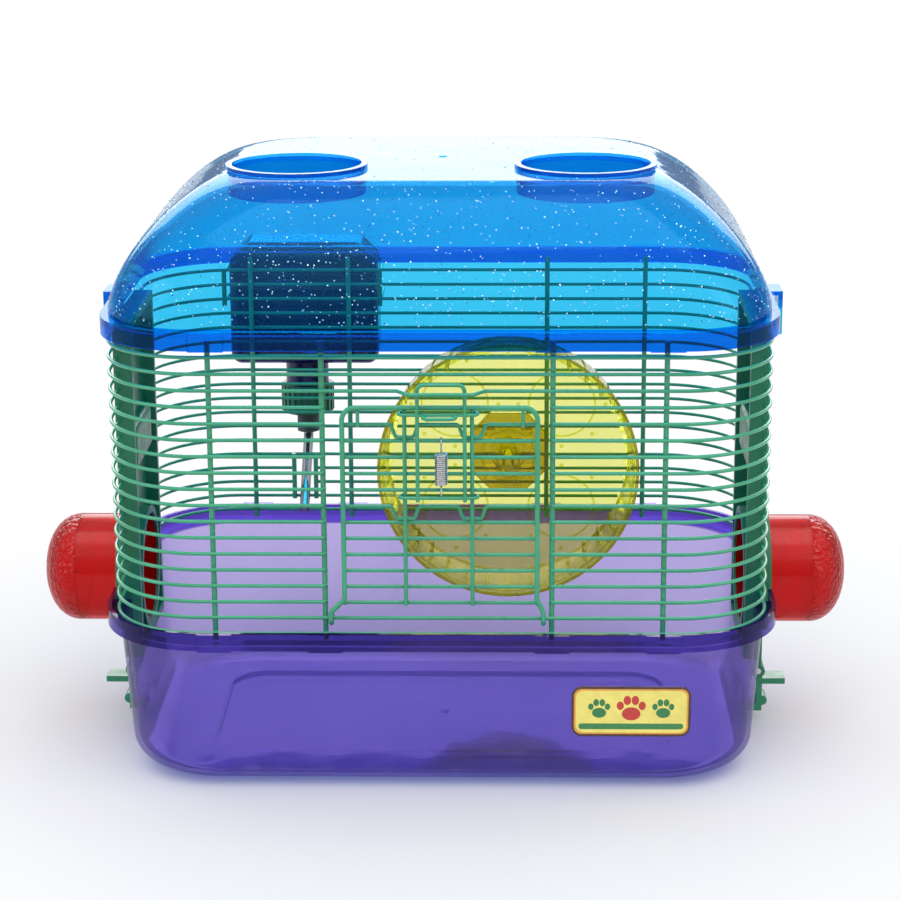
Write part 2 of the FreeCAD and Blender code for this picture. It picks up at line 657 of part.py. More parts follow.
def make_plug_sleeve():
    """Sleeve of the right plug."""
    x0 = PANEL_X - PLUG_INSIDE
    length = PLUG_INSIDE + PANEL_T + PLUG_SLEEVE
    outer = Part.makeCylinder(PLUG_R, length, V(x0, 0, PORT_Z), V(1, 0, 0))
    bore = Part.makeCylinder(PLUG_R - PLUG_WALL, length + 2, V(x0 - 1, 0, PORT_Z), V(1, 0, 0))
    return outer.cut(bore)


def dome_curve(radius, bulge):
    """Rounded profile of the plug's end, from its edge to the axis."""
    x0 = PANEL_OUT_X + PLUG_SLEEVE
    curve = Part.BezierCurve()
    curve.setPoles([V(x0, 0, PORT_Z + radius), V(x0 + bulge * DOME_FULLNESS, 0, PORT_Z + radius),
                    V(x0 + bulge, 0, PORT_Z + radius * DOME_FULLNESS), V(x0 + bulge, 0, PORT_Z)])
    return curve.toShape()


def make_plug_dome():
    """Domed end of the right plug."""
    x0 = PANEL_OUT_X + PLUG_SLEEVE
    inner_r = PLUG_R - PLUG_WALL
    inner_bulge = PLUG_DOME - PLUG_WALL
    tip = Part.LineSegment(V(x0 + inner_bulge, 0, PORT_Z), V(x0 + PLUG_DOME, 0, PORT_Z))
    edge = Part.LineSegment(V(x0, 0, PORT_Z + inner_r), V(x0, 0, PORT_Z + PLUG_R))
    edges = [dome_curve(PLUG_R, PLUG_DOME), tip.toShape(), dome_curve(inner_r, inner_bulge),
             edge.toShape()]
    face = Part.Face(Part.Wire(Part.__sortEdges__(edges)))
    dome = face.revolve(V(x0, 0, PORT_Z), V(1, 0, 0), 360)
    return dome if dome.Volume > 0 else dome.reversed()


# ---------------------------------------------------------------- door
def make_door_frame():
    """Door frame: one bent wire whose two ends are hooked round the hinge wire."""
    hinge_z = ROW_Z[HINGE_ROW]
    left_x = DOOR_X_LEFT - DOOR_FOOT_SPLAY_LEFT
    right_x = DOOR_X_RIGHT + DOOR_FOOT_SPLAY_RIGHT
    knee_z = hinge_z + DOOR_KNEE_H
    points = [V(left_x, DOOR_Y, hinge_z), V(left_x, DOOR_Y, knee_z),
              V(DOOR_X_LEFT, DOOR_Y, hinge_z + DOOR_FOOT_H), V(DOOR_X_LEFT, DOOR_Y, DOOR_TOP_Z),
              V(DOOR_X_RIGHT, DOOR_Y, DOOR_TOP_Z),
              V(DOOR_X_RIGHT, DOOR_Y, hinge_z + DOOR_FOOT_H),
              V(right_x, DOOR_Y, knee_z), V(right_x, DOOR_Y, hinge_z)]
    foot = DOOR_FOOT_BEND_R
    rail = path(points, [foot, foot, DOOR_BEND_R, DOOR_BEND_R, foot, foot])
    frame = [sweep(rail, RAIL_R)]
    for x in (left_x, right_x):
        centre = V(x, -CAGE_HALF_Y, hinge_z)
        ring = []
        for angle in (0, math.pi * 2 / 3, math.pi * 4 / 3):
            ring.append(centre.sub(V(0, HINGE_EYE_R * math.cos(angle),
                                     HINGE_EYE_R * math.sin(angle))))
        frame.append(sweep([Part.Arc(ring[0], ring[1], ring[2]).toShape()], RAIL_R))
    return fuse(frame)


def make_door_wires():
    """Level wires, two uprights and two short stubs of the door, as separate wires."""
    wires = []
    x0 = DOOR_X_LEFT - RAIL_R / 2
    x1 = DOOR_X_RIGHT + RAIL_R / 2
    for k in range(HINGE_ROW + 1, DOOR_TOP_ROW):
        z = ROW_Z[k]
        if k in DIP_ROWS:
            points = [V(x0, DOOR_ROW_Y, z)]
            for x in (DOOR_POST_LEFT, DOOR_POST_RIGHT):
                points += [V(x - DIP_HALF - 1, DOOR_ROW_Y, z),
                           V(x - DIP_HALF + 1, DOOR_ROW_Y, z - DIP_DEPTH),
                           V(x + DIP_HALF - 1, DOOR_ROW_Y, z - DIP_DEPTH),
                           V(x + DIP_HALF + 1, DOOR_ROW_Y, z)]
            points.append(V(x1, DOOR_ROW_Y, z))
            wires.append(bent_rod(points, DIP_BEND_R, ROW_R))
        else:
            wires.append(rod(V(x0, DOOR_ROW_Y, z), V(x1, DOOR_ROW_Y, z), ROW_R))
    rail_low = DOOR_TOP_Z - RAIL_R
    for x in (DOOR_POST_LEFT, DOOR_POST_RIGHT):
        wires.append(rod(V(x, DOOR_POST_Y, ROW_Z[HINGE_ROW + 1] - ROW_R),
                         V(x, DOOR_POST_Y, rail_low), DOOR_POST_R))
    for x in DOOR_STUB_X:
        wires.append(rod(V(x, DOOR_POST_Y, ROW_Z[DOOR_TOP_ROW - 1] - ROW_R),
                         V(x, DOOR_POST_Y, rail_low), ROW_R))
    return wires


def make_door_latch():
    """Sliding latch: a wire loop, two bars hooked round the door's uprights, and a finger grip."""
    loop = bent_rod([V(LATCH_LOOP_LEFT, LATCH_Y, LATCH_LOOP_BOTTOM),
                     V(LATCH_LOOP_LEFT, LATCH_Y, LATCH_LOOP_TOP),
                     V(LATCH_LOOP_RIGHT, LATCH_Y, LATCH_LOOP_TOP),
                     V(LATCH_LOOP_RIGHT, LATCH_Y, LATCH_LOOP_BOTTOM)], LATCH_BEND_R,
                    LATCH_WIRE_R)
    pieces = [loop]
    reach = DOOR_POST_Y - LATCH_Y
    back = DOOR_POST_Y + reach
    for z in LATCH_BAR_Z:
        left = V(DOOR_POST_LEFT, LATCH_Y, z)
        right = V(DOOR_POST_RIGHT, LATCH_Y, z)
        edges = [Part.Arc(V(DOOR_POST_LEFT, back, z), V(DOOR_POST_LEFT - reach, DOOR_POST_Y, z),
                          left).toShape(),
                 Part.LineSegment(left, right).toShape(),
                 Part.Arc(right, V(DOOR_POST_RIGHT + reach, DOOR_POST_Y, z),
                          V(DOOR_POST_RIGHT, back, z)).toShape()]
        pieces.append(sweep(edges, LATCH_BAR_R))
    grip_z = LATCH_BAR_Z[-1]
    grip_y = LATCH_Y - GRIP_OUT
    pieces.append(bent_rod([V(GRIP_LEFT, LATCH_Y, grip_z), V(GRIP_LEFT, grip_y, grip_z),
                            V(GRIP_RIGHT, grip_y, grip_z), V(GRIP_RIGHT, LATCH_Y, grip_z)],
                           LATCH_BEND_R, LATCH_WIRE_R))
    return fuse(pieces)


def make_latch_spring():
    """Envelope of the close-wound pull spring, with its two hooks."""
    x = (LATCH_LOOP_LEFT + LATCH_LOOP_RIGHT) / 2
    y = DOOR_ROW_Y - ROW_R - SPRING_R - LATCH_GAP_Y
    coil = Part.makeCylinder(SPRING_R, SPRING_TOP - SPRING_BOTTOM, V(x, y, SPRING_BOTTOM))
    bore = Part.makeCylinder(SPRING_R - 2 * SPRING_WIRE_R, SPRING_TOP - SPRING_BOTTOM,
                             V(x, y, SPRING_BOTTOM))
    top = ROW_Z[SPRING_HOOK_ROW] + ROW_R + SPRING_WIRE_R
    gap = SPRING_R - SPRING_WIRE_R
    upper = bent_rod([V(x, y + gap, SPRING_TOP), V(x, y + gap, top), V(x, DOOR_ROW_Y + 1, top)],
                     SPRING_HOOK_BEND_R, SPRING_WIRE_R)
    low = LATCH_BAR_Z[0] + LATCH_BAR_R + SPRING_WIRE_R
    lower = rod(V(x, y - gap, SPRING_BOTTOM), V(x, LATCH_Y, low), SPRING_WIRE_R)
    return fuse([coil.cut(bore), upper, lower])


# ---------------------------------------------------------------- wheel
def make_wheel():
    """Exercise wheel: a drum open to the front, with a closed back, a hub and running ribs."""
    back_in = WHEEL_BACK_Y - WHEEL_WALL
    wall = WHEEL_WALL
    profile = [(0, HUB_FRONT_Y), (HUB_R, HUB_FRONT_Y), (HUB_R, back_in),
               (WHEEL_BACK_R - wall, back_in), (WHEEL_R - wall, WHEEL_FRONT_Y + wall),
               (WHEEL_R - WHEEL_LIP, WHEEL_FRONT_Y + wall), (WHEEL_R - WHEEL_LIP, WHEEL_FRONT_Y),
               (WHEEL_R, WHEEL_FRONT_Y), (WHEEL_BACK_R, WHEEL_BACK_Y), (0, WHEEL_BACK_Y)]
    points = [V(WHEEL_X + r, y, WHEEL_Z) for r, y in profile]
    body = turn(points, V(WHEEL_X, 0, WHEEL_Z), V(0, 1, 0))
    ribs = []
    for i in range(WHEEL_RIB_COUNT):
        rib = block(WHEEL_BACK_R - wall - WHEEL_RIB, WHEEL_BACK_R - wall / 2,
                    WHEEL_FRONT_Y + wall, back_in + wall / 2, -WHEEL_RIB / 2, WHEEL_RIB / 2)
        rib.rotate(V(0, 0, 0), V(0, 1, 0), 360.0 * i / WHEEL_RIB_COUNT)
        rib.translate(V(WHEEL_X, 0, WHEEL_Z))
        ribs.append(rib)
    body = body.multiFuse(ribs)
    bore_end = HUB_FRONT_Y + WHEEL_WALL
    bore = Part.makeCylinder(AXLE_R + AXLE_FIT, WHEEL_BACK_Y + 1 - bore_end,
                             V(WHEEL_X, bore_end, WHEEL_Z), V(0, 1, 0))
    return body.cut(bore)


def make_wheel_mount():
    """Plate clipped to the back wires, with the wheel's axle."""
    profile = []
    for sx, sz in ((1, 1), (-1, 1), (-1, -1), (1, -1)):
        a = V(sx * MOUNT_HALF_X, AXLE_Y0, sz * (MOUNT_HALF_Z - MOUNT_CORNER))
        b = V(sx * (MOUNT_HALF_X - MOUNT_CORNER), AXLE_Y0, sz * MOUNT_HALF_Z)
        profile += [a, b] if sx * sz > 0 else [b, a]
    face = Part.Face(Part.makePolygon(profile + [profile[0]]))
    face.translate(V(WHEEL_X, 0, WHEEL_Z))
    body = face.extrude(V(0, MOUNT_T, 0))
    axle_end = HUB_FRONT_Y + WHEEL_WALL + AXLE_END_GAP
    axle = Part.makeCylinder(AXLE_R, AXLE_Y0 - axle_end + 1, V(WHEEL_X, axle_end, WHEEL_Z),
                             V(0, 1, 0))
    boss_y = WHEEL_BACK_Y + MOUNT_BOSS_GAP
    boss = Part.makeCylinder(MOUNT_BOSS_R, AXLE_Y0 - boss_y + 1, V(WHEEL_X, boss_y, WHEEL_Z),
                             V(0, 1, 0))
    clips = []
    gap_half = ROW_PITCH / 2 - ROW_R - MOUNT_GAP
    rows = [z for z in ROW_Z if abs(z - WHEEL_Z) < MOUNT_HALF_Z - MOUNT_CORNER / 2]
    y_back = CAGE_HALF_Y + ROW_R + MOUNT_GAP
    for z_row in (rows[0], rows[-2]):
        middle = z_row + ROW_PITCH / 2
        for x in (WHEEL_X - CLIP_X, WHEEL_X + CLIP_X):
            stem = block(x - CLIP_HALF, x + CLIP_HALF, AXLE_Y0 + MOUNT_T, y_back + CLIP_T,
                         middle - gap_half, middle + gap_half)
            tip = block(x - CLIP_HALF, x + CLIP_HALF, y_back, y_back + CLIP_T,
                        middle - gap_half, middle + gap_half + CLIP_CATCH)
            clips += [stem, tip]
    return body.multiFuse([axle, boss] + clips).removeSplitter()


# ---------------------------------------------------------------- drinking bottle
def bottle_solid(inset):
    """Flat bottle body with sloped top shoulders; inset shrinks it to its inner space."""
    half = BOTTLE_HALF_X - inset
    z0 = BOTTLE_Z0 + inset
    z1 = BOTTLE_Z0 + BOTTLE_H - inset
    y0 = BOTTLE_FRONT_Y + inset
    cut = BOTTLE_SHOULDER - inset * 0.4
    outline = [V(-half, y0, z0), V(half, y0, z0), V(half, y0, z1 - cut), V(half - cut, y0, z1),
               V(-half + cut, y0, z1), V(-half, y0, z1 - cut)]
    body = Part.Face(Part.makePolygon(outline + [outline[0]])).extrude(
        V(0, BOTTLE_DEPTH - 2 * inset, 0))
    body = body.makeFillet(BOTTLE_EDGE_R - inset * 0.5, body.Edges)
    body.translate(V(BOTTLE_X, 0, 0))
    return body


def make_bottle_body():
    """Bottle with its neck and the ledge that hangs on the bracket."""
    neck_low = CAP_TOP - NECK_IN_CAP
    neck = Part.makeCylinder(NECK_R, BOTTLE_Z0 + NECK_ROOT - neck_low,
                             V(BOTTLE_X, BOTTLE_MID_Y, neck_low))
    ledge_z = BRACKET_Z[-1] + BRACKET_R + 0.05
    ledge = block(BOTTLE_X - LEDGE_HALF_X, BOTTLE_X + LEDGE_HALF_X, BOTTLE_BACK_Y - 3,
                  BOTTLE_BACK_Y + BRACKET_GAP + 2 * BRACKET_R, ledge_z, ledge_z + LEDGE_H)
    body = bottle_solid(0).multiFuse([neck, ledge])
    body = body.cut(bottle_solid(BOTTLE_WALL))
    throat = Part.makeCylinder(NECK_R - BOTTLE_WALL, BOTTLE_Z0 + NECK_ROOT - neck_low,
                               V(BOTTLE_X, BOTTLE_MID_Y, neck_low - 1))
    return body.cut(throat)


def make_bottle_cap():
    """Screw cap with grip ribs, a neck recess and a hole for the tube holder."""
    body = Part.makeCylinder(CAP_R - CAP_GRIP_DEPTH, CAP_H, V(BOTTLE_X, BOTTLE_MID_Y, CAP_BOTTOM))
    ribs = []
    for i in range(CAP_GRIP_COUNT):
        rib = block(CAP_R - 2 * CAP_GRIP_DEPTH, CAP_R, -CAP_GRIP_HALF, CAP_GRIP_HALF,
                    CAP_BOTTOM + CAP_GRIP_DEPTH, CAP_TOP - CAP_GRIP_DEPTH)
        rib.rotate(V(0, 0, 0), V(0, 0, 1), 360.0 * i / CAP_GRIP_COUNT)
        rib.translate(V(BOTTLE_X, BOTTLE_MID_Y, 0))
        ribs.append(rib)
    body = body.multiFuse(ribs)
    recess = Part.makeCylinder(NECK_R, NECK_IN_CAP + 1,
                               V(BOTTLE_X, BOTTLE_MID_Y, CAP_TOP - NECK_IN_CAP))
    hole = Part.makeCylinder(HOLDER_SPIGOT_R, CAP_H, V(BOTTLE_X, BOTTLE_MID_Y, CAP_BOTTOM - 1))
    return body.cut(recess).cut(hole)


def make_tube_holder():
    """Rubber bush that holds the drinking tube in the cap."""
    bush = Part.makeCylinder(HOLDER_R, HOLDER_H, V(BOTTLE_X, BOTTLE_MID_Y, HOLDER_BOTTOM))
    spigot = Part.makeCylinder(HOLDER_SPIGOT_R, CAP_H - NECK_IN_CAP + HOLDER_H,
                               V(BOTTLE_X, BOTTLE_MID_Y, HOLDER_BOTTOM))
    bore = Part.makeCylinder(TUBE_R, 60, V(BOTTLE_X, BOTTLE_MID_Y, HOLDER_BOTTOM - 1))
    return bush.fuse(spigot).cut(bore).removeSplitter()


def tube_axis():
    """Unit vector along the tube's last run, towards its tip, and the tip itself."""
    angle = math.radians(TUBE_ANGLE)
    heading = V(0, -math.sin(angle), -math.cos(angle))
    length = (BOTTLE_MID_Y - TUBE_TIP_Y) / math.sin(angle)
    tip = V(BOTTLE_X, BOTTLE_MID_Y, TUBE_BEND_Z).add(V(heading).multiply(length))
    return heading, tip


def make_sipper_tube():
    """Bent steel drinking tube."""
    heading, tip = tube_axis()
    top = V(BOTTLE_X, BOTTLE_MID_Y, CAP_BOTTOM + TUBE_IN_CAP)
    knee = V(BOTTLE_X, BOTTLE_MID_Y, TUBE_BEND_Z)
    outer = bent_rod([top, knee, tip], TUBE_BEND_R, TUBE_R)
    past = tip.add(V(heading).multiply(1))
    bore = bent_rod([top.add(V(0, 0, 1)), knee, past], TUBE_BEND_R, TUBE_BORE)
    return outer.cut(bore)


def make_sipper_ball():
    """Steel ball in the end of the drinking tube."""
    heading, tip = tube_axis()
    return Part.makeSphere(BALL_R, tip.sub(V(heading).multiply(BALL_R - BALL_OUT)))


def make_bottle_bracket():
    """Two wire loops round the bottle, joined by an upright at each end."""
    half = BOTTLE_HALF_X + BRACKET_GAP + BRACKET_R
    y0 = CAGE_HALF_Y + ROW_R + BRACKET_POST_R
    y1 = BOTTLE_BACK_Y + BRACKET_GAP + BRACKET_R
    pieces = []
    for z in BRACKET_Z:
        pieces.append(bent_rod([V(BOTTLE_X - half, y0, z), V(BOTTLE_X - half, y1, z),
                                V(BOTTLE_X + half, y1, z), V(BOTTLE_X + half, y0, z)],
                               BRACKET_BEND_R, BRACKET_R))
    for side in (-1, 1):
        x = BOTTLE_X + side * half
        pieces.append(rod(V(x, y0, BRACKET_Z[0] - 2), V(x, y0, BRACKET_Z[1] + 2),
                          BRACKET_POST_R))
    return fuse(pieces)


# ---------------------------------------------------------------- the nodes
def main():
    os.makedirs("parts", exist_ok=True)
    save("tub", [make_tub()])
    save("front_label", [make_label()])
    save("lid", [make_lid()])
    save("left_top_ring", [make_top_ring(-TOP_PORT_X)])
    save("right_top_ring", [make_top_ring(TOP_PORT_X)])
    for name_x, side_x in (("left", -1), ("right", 1)):
        for name_y, side_y in (("front", -1), ("back", 1)):
            save(name_y + "_" + name_x + "_corner_wires", corner_wires(side_x, side_y))
        save("front_" + name_x + "_wires", front_side_wires(side_x))
        save("back_" + name_x + "_wires", back_gap_wires(side_x))
    save("front_top_wires", front_top_wires())
    save("front_bottom_wires", front_bottom_wires())
    save("back_upper_wires", back_upper_wires())
    save("back_lower_wires", back_lower_wires())
    mirrored = {"side_panel": make_side_panel(), "side_latch": make_side_latch(),
                "side_latch_pin": make_side_pin(), "plug_sleeve": make_plug_sleeve(),
                "plug_dome": make_plug_dome()}
    for name, shape in mirrored.items():
        save("right_" + name, [shape])
        save("left_" + name, [mirror_x(shape)])
    save("door_frame", [make_door_frame()])
    save("door_wires", make_door_wires())
    save("door_latch", [make_door_latch()])
    save("latch_spring", [make_latch_spring()])
    save("wheel", [make_wheel()])
    save("wheel_mount", [make_wheel_mount()])
    save("bottle_body", [make_bottle_body()])
    save("bottle_cap", [make_bottle_cap()])
    save("tube_holder", [make_tube_holder()])
    save("sipper_tube", [make_sipper_tube()])
    save("sipper_ball", [make_sipper_ball()])
    save("bottle_bracket", [make_bottle_bracket()])


main()
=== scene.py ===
import json
import math
import random

import bmesh
import bpy
from mathutils import Matrix, Vector


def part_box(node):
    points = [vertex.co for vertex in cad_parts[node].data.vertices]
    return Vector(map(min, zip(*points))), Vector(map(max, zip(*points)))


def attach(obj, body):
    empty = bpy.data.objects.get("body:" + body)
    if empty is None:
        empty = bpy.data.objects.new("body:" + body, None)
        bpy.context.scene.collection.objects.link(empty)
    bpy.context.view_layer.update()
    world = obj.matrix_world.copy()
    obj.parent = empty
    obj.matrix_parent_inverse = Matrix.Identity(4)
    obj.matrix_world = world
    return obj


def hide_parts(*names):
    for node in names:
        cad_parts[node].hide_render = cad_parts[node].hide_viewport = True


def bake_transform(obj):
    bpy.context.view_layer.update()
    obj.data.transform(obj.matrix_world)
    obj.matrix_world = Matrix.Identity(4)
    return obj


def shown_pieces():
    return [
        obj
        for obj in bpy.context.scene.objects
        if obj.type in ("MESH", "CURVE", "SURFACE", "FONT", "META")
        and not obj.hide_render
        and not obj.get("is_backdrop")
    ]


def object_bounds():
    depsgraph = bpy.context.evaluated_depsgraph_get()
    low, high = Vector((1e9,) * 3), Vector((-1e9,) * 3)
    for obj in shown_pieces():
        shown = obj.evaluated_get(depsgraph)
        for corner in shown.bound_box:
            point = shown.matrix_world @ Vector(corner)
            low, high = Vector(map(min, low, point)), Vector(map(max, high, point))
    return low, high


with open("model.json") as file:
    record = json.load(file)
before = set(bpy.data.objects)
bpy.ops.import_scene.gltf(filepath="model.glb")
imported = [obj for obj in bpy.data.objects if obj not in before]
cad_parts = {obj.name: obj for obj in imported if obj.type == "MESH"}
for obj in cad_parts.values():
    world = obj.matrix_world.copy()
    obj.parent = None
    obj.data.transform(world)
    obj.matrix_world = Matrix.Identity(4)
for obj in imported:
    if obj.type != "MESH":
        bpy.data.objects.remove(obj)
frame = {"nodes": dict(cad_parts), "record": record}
CAD_LOW, CAD_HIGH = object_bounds()
MM = 0.001

# ---------------------------------------------------------------- camera, lights, floor
CAMERA_AT = (0.034, -1.206, 0.475)
CAMERA_YAW = math.radians(-1.46)
CAMERA_PITCH = math.radians(15.48)
CAMERA_ROLL = math.radians(-0.32)
CAMERA_LENS = 100.9
FLOOR_COLOUR = (0.915, 0.91, 0.92, 1)
WORLD_COLOUR = (0.97, 0.975, 1.0, 1)
WORLD_STRENGTH = 0.92
CEILING_COLOUR = (1.17, 1.17, 1.18)
WALL_COLOUR = (0.42, 0.43, 0.46)
WALL_TOP, CEILING_START = 0.05, 0.75      # between these the walls shade into the ceiling
FLOOR_REACH = 9.0
FLOOR_DROP = 0.0004                       # keeps the floor just under the tub
SUN_ANGLE = math.radians(70)
SUN_POWER = 0.75
LIGHTS = (("top_softbox", (0.1, -0.15, 1.9), (0, 0, 0.1), 1.6, 1.2, 14),
          ("left_softbox", (-1.7, -0.7, 1.0), (0, 0, 0.15), 0.9, 1.3, 10),
          ("right_softbox", (1.8, -0.8, 1.1), (0, 0, 0.15), 0.7, 1.2, 8),
          ("back_softbox", (0, 2.2, 0.95), (0, 0, 0.25), 3.2, 1.0, 40))


def aim(obj, at, target):
    """Place obj and turn its -Z to the target."""
    obj.location = at
    obj.rotation_euler = (Vector(target) - Vector(at)).to_track_quat("-Z", "Y").to_euler()


def make_camera():
    """The camera in front of the cage, a little above it."""
    forward = Vector((math.sin(CAMERA_YAW) * math.cos(CAMERA_PITCH),
                      math.cos(CAMERA_YAW) * math.cos(CAMERA_PITCH), -math.sin(CAMERA_PITCH)))
    right = Vector((math.cos(CAMERA_YAW), -math.sin(CAMERA_YAW), 0))
    up = right.cross(forward)
    cos_r, sin_r = math.cos(CAMERA_ROLL), math.sin(CAMERA_ROLL)
    axes = (cos_r * right + sin_r * up, cos_r * up - sin_r * right, -forward)
    data = bpy.data.cameras.new("camera")
    data.lens = CAMERA_LENS
    data.sensor_width = 36.0
    data.clip_end = 60.0
    camera = bpy.data.objects.new("camera", data)
    bpy.context.scene.collection.objects.link(camera)
    camera.matrix_world = Matrix.Translation(CAMERA_AT) @ Matrix(axes).transposed().to_4x4()
    bpy.context.scene.camera = camera


def area_light(name, at, target, width, height, power):
    """A softbox that the camera doesn't see."""
    data = bpy.data.lights.new(name, "AREA")
    data.shape = "RECTANGLE"
    data.size = width
    data.size_y = height
    data.energy = power
    lamp = bpy.data.objects.new(name, data)
    bpy.context.scene.collection.objects.link(lamp)
    aim(lamp, at, target)
    lamp.visible_camera = False
    return lamp


def light_world(tree):
    """Even pale surroundings for the camera; a brighter ceiling than walls for the light."""
    background = tree.nodes["Background"]
    background.inputs["Strength"].default_value = WORLD_STRENGTH
    split = tree.nodes.new("ShaderNodeSeparateXYZ")
    tree.links.new(tree.nodes.new("ShaderNodeTexCoord").outputs["Generated"], split.inputs[0])
    height = tree.nodes.new("ShaderNodeMapRange")
    height.inputs["From Min"].default_value = WALL_TOP
    height.inputs["From Max"].default_value = CEILING_START
    tree.links.new(split.outputs["Z"], height.inputs["Value"])
    studio = mixed(tree, height.outputs[0], WALL_COLOUR, CEILING_COLOUR)
    eye = tree.nodes.new("ShaderNodeLightPath").outputs["Is Camera Ray"]
    tree.links.new(mixed(tree, eye, studio, WORLD_COLOUR), background.inputs["Color"])


def light_only_the_object(softboxes):
    """The softboxes light the object alone, so that the floor stays even."""
    lit = bpy.data.collections.new("lit_by_softboxes")
    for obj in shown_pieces():
        lit.objects.link(obj)
    for lamp in softboxes:
        lamp.light_linking.receiver_collection = lit


def make_floor():
    floor_mesh = bpy.data.meshes.new("floor")
    build = bmesh.new()
    bmesh.ops.create_grid(build, x_segments=8, y_segments=8, size=FLOOR_REACH)
    build.to_mesh(floor_mesh)
    build.free()
    floor = bpy.data.objects.new("floor", floor_mesh)
    bpy.context.scene.collection.objects.link(floor)
    floor.location = (0, 0, -FLOOR_DROP)
    material, tree, out = new_material("floor")
    shader = tree.nodes.new("ShaderNodeBsdfPrincipled")
    shader.inputs["Base Color"].default_value = FLOOR_COLOUR
    shader.inputs["Roughness"].default_value = 0.55
    shader.inputs["Specular IOR Level"].default_value = 0.25
    tree.links.new(shader.outputs[0], out.inputs["Surface"])
    floor_mesh.materials.append(material)
    floor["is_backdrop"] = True


def make_studio():
    """World, lights and floor; gives the softboxes."""
    scene = bpy.context.scene
    scene.view_settings.view_transform = "Standard"
    scene.cycles.transparent_max_bounces = 48
    scene.cycles.max_bounces = 10
    world = bpy.data.worlds.new("world")
    scene.world = world
    world.use_nodes = True
    light_world(world.node_tree)
    softboxes = [area_light(*row) for row in LIGHTS]
    sun = bpy.data.lights.new("sky_panel", "SUN")
    sun.energy = SUN_POWER
    sun.angle = SUN_ANGLE
    lamp = bpy.data.objects.new("sky_panel", sun)
    scene.collection.objects.link(lamp)
    aim(lamp, (0.3, -0.9, 2.4), (0, 0, 0))
    make_floor()
    return softboxes


# ---------------------------------------------------------------- material helpers
EDGE_SHINE = (0.85, 0.87, 0.90)
PLASTIC_IOR = 1.5
RIM_DEPTH = 4.0                           # how much deeper a rim's tint is than its wall's
STIPPLE_STRENGTH, STIPPLE_DEPTH = 0.9, 0.0011
RIPPLE_DEPTH = 0.0012
GRAIN_DEPTH = 0.00006
PATCHES = 35.0
TUB_RIM = (0.0728, 0.0820, 1.0)           # low edge, high edge and strength
LID_RIM = (0.2150, 0.2242, 1.0)


def new_material(name):
    material = bpy.data.materials.new(name)
    material.use_nodes = True
    tree = material.node_tree
    tree.nodes.clear()
    return material, tree, tree.nodes.new("ShaderNodeOutputMaterial")


def math_node(tree, operation, a, b=None, clamp=False):
    node = tree.nodes.new("ShaderNodeMath")
    node.operation = operation
    node.use_clamp = clamp
    for socket, value in zip(node.inputs, (a, b)):
        if value is None:
            continue
        if isinstance(value, (int, float)):
            socket.default_value = value
        else:
            tree.links.new(value, socket)
    return node.outputs[0]


def place(tree):
    """Object coordinates, which are the frame's coordinates at rest."""
    return tree.nodes.new("ShaderNodeTexCoord").outputs["Object"]


def noise(tree, scale, detail=3.0, low=0.0, high=1.0, stretch=None):
    """Noise at a scale per metre, spread from low to high."""
    source = place(tree)
    if stretch:
        mapping = tree.nodes.new("ShaderNodeMapping")
        mapping.inputs["Scale"].default_value = stretch
        tree.links.new(source, mapping.inputs["Vector"])
        source = mapping.outputs[0]
    node = tree.nodes.new("ShaderNodeTexNoise")
    node.inputs["Scale"].default_value = scale
    node.inputs["Detail"].default_value = detail
    tree.links.new(source, node.inputs["Vector"])
    spread = tree.nodes.new("ShaderNodeMapRange")
    spread.inputs["From Min"].default_value = 0.32
    spread.inputs["From Max"].default_value = 0.68
    spread.inputs["To Min"].default_value = low
    spread.inputs["To Max"].default_value = high
    tree.links.new(node.outputs["Fac"], spread.inputs["Value"])
    return spread.outputs[0]


def mixed(tree, factor, a, b):
    """Colour between a and b."""
    node = tree.nodes.new("ShaderNodeMix")
    node.data_type = "RGBA"
    for socket, value in ((node.inputs[0], factor), (node.inputs[6], a), (node.inputs[7], b)):
        if isinstance(value, (int, float)):
            socket.default_value = value
        elif isinstance(value, tuple):
            socket.default_value = (*value[:3], 1)
        else:
            tree.links.new(value, socket)
    return node.outputs[2]


def bump(tree, height, strength, distance):
    node = tree.nodes.new("ShaderNodeBump")
    node.inputs["Strength"].default_value = strength
    node.inputs["Distance"].default_value = distance
    tree.links.new(height, node.inputs["Height"])
    return node.outputs[0]


def mix_shader(tree, factor, a, b):
    node = tree.nodes.new("ShaderNodeMixShader")
    tree.links.new(factor, node.inputs[0])
    tree.links.new(a, node.inputs[1])
    tree.links.new(b, node.inputs[2])
    return node.outputs[0]


def band(tree, low, high):
    """One between two heights of the frame, nought elsewhere."""
    split = tree.nodes.new("ShaderNodeSeparateXYZ")
    tree.links.new(place(tree), split.inputs[0])
    above = math_node(tree, "GREATER_THAN", split.outputs["Z"], low)
    below = math_node(tree, "LESS_THAN", split.outputs["Z"], high)
    return math_node(tree, "MULTIPLY", above, below)


